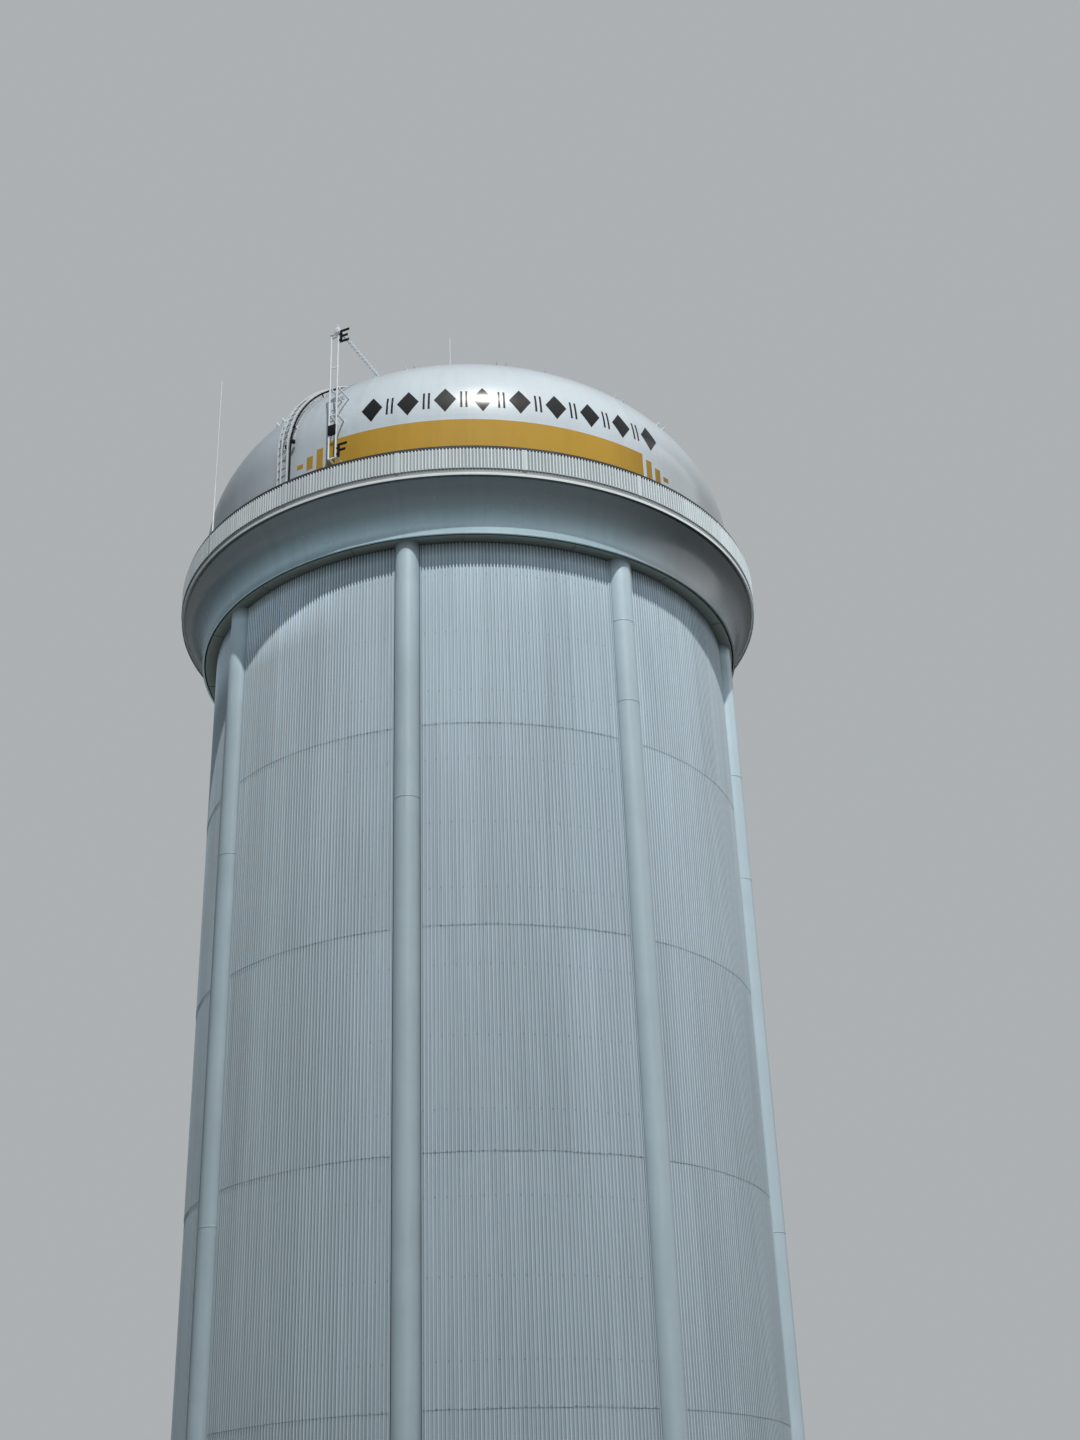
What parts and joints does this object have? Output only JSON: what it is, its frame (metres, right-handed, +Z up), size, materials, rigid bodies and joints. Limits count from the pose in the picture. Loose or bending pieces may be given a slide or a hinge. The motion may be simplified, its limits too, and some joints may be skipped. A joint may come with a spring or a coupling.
{
  "type": "clad water tower, 1:2 scale model",
  "caption": "Half-size model of a round water tower: domed tank and balcony over pipe legs with ribbed sheet cladding between them, and a sliding level gauge.",
  "frame": {"origin": "ground level on the tower's axis, at the bottom centre of the leg flanges", "axes": "+Z up along the tower's axis; -Y is the front, the middle of the bay that faces the sun in the picture; legs stand at 22.5 degrees and every 45 degrees from it"},
  "size_m": [9.825, 9.825, 22.6245],
  "materials": {
    "sheet_paint": "ribbed steel sheet, light blue-grey factory paint, satin",
    "parapet_paint": "ribbed steel sheet, pale grey paint, satin",
    "leg_paint": "light blue-grey paint on steel pipe, satin",
    "tank_paint": "white gloss paint on welded plate, lightly streaked",
    "skirt_paint": "blue-grey gloss paint on welded plate",
    "soffit_paint": "dull grey paint, weathered",
    "rim_paint": "pale grey paint on steel channel",
    "gauge_white": "white paint on steel bar",
    "antenna_white": "white fibreglass rod",
    "black_paint": "flat black paint",
    "galvanized_steel": "galvanized, dull",
    "concrete": "cast concrete, weathered"
  },
  "bodies": {
    "tower": {"column_1": "leg_paint", "column_2": "leg_paint", "column_3": "leg_paint", "column_4": "leg_paint", "column_5": "leg_paint", "column_6": "leg_paint", "column_7": "leg_paint", "column_8": "leg_paint", "cladding_1": "sheet_paint", "cladding_2": "sheet_paint", "cladding_3": "sheet_paint", "cladding_4": "sheet_paint", "cladding_5": "sheet_paint", "cladding_6": "sheet_paint", "cladding_7": "sheet_paint", "cladding_8": "sheet_paint", "foundation_curb": "concrete", "ring_girder": "soffit_paint", "balcony_skirt": "skirt_paint", "balcony_rim_1": "rim_paint", "balcony_rim_2": "rim_paint", "balcony_rim_3": "rim_paint", "balcony_rim_4": "rim_paint", "balcony_rim_5": "rim_paint", "balcony_rim_6": "rim_paint", "balcony_rim_7": "rim_paint", "balcony_rim_8": "rim_paint", "balcony_floor": "galvanized_steel", "parapet_1": "parapet_paint", "parapet_2": "parapet_paint", "parapet_3": "parapet_paint", "parapet_4": "parapet_paint", "parapet_5": "parapet_paint", "parapet_6": "parapet_paint", "parapet_7": "parapet_paint", "parapet_8": "parapet_paint", "parapet_frame": "galvanized_steel", "tank_bottom": "skirt_paint", "tank_shell": "tank_paint", "tank_roof": "tank_paint", "gauge_rails": "gauge_white", "gauge_head": "gauge_white", "gauge_conduit": "gauge_white", "gauge_letter_e": "black_paint", "gauge_letter_f": "black_paint", "roof_ladder": "gauge_white", "ladder_conduit": "black_paint", "whip_antenna": "antenna_white", "roof_antenna": "antenna_white"},
    "level_target": {"gauge_target": "black_paint"}
  },
  "joints": [
    {"name": "level_slide", "type": "slide", "parent": "tower", "child": "level_target", "axis": [0, 0, 1], "range_m": [-0.41, 1.74]}
  ]
}
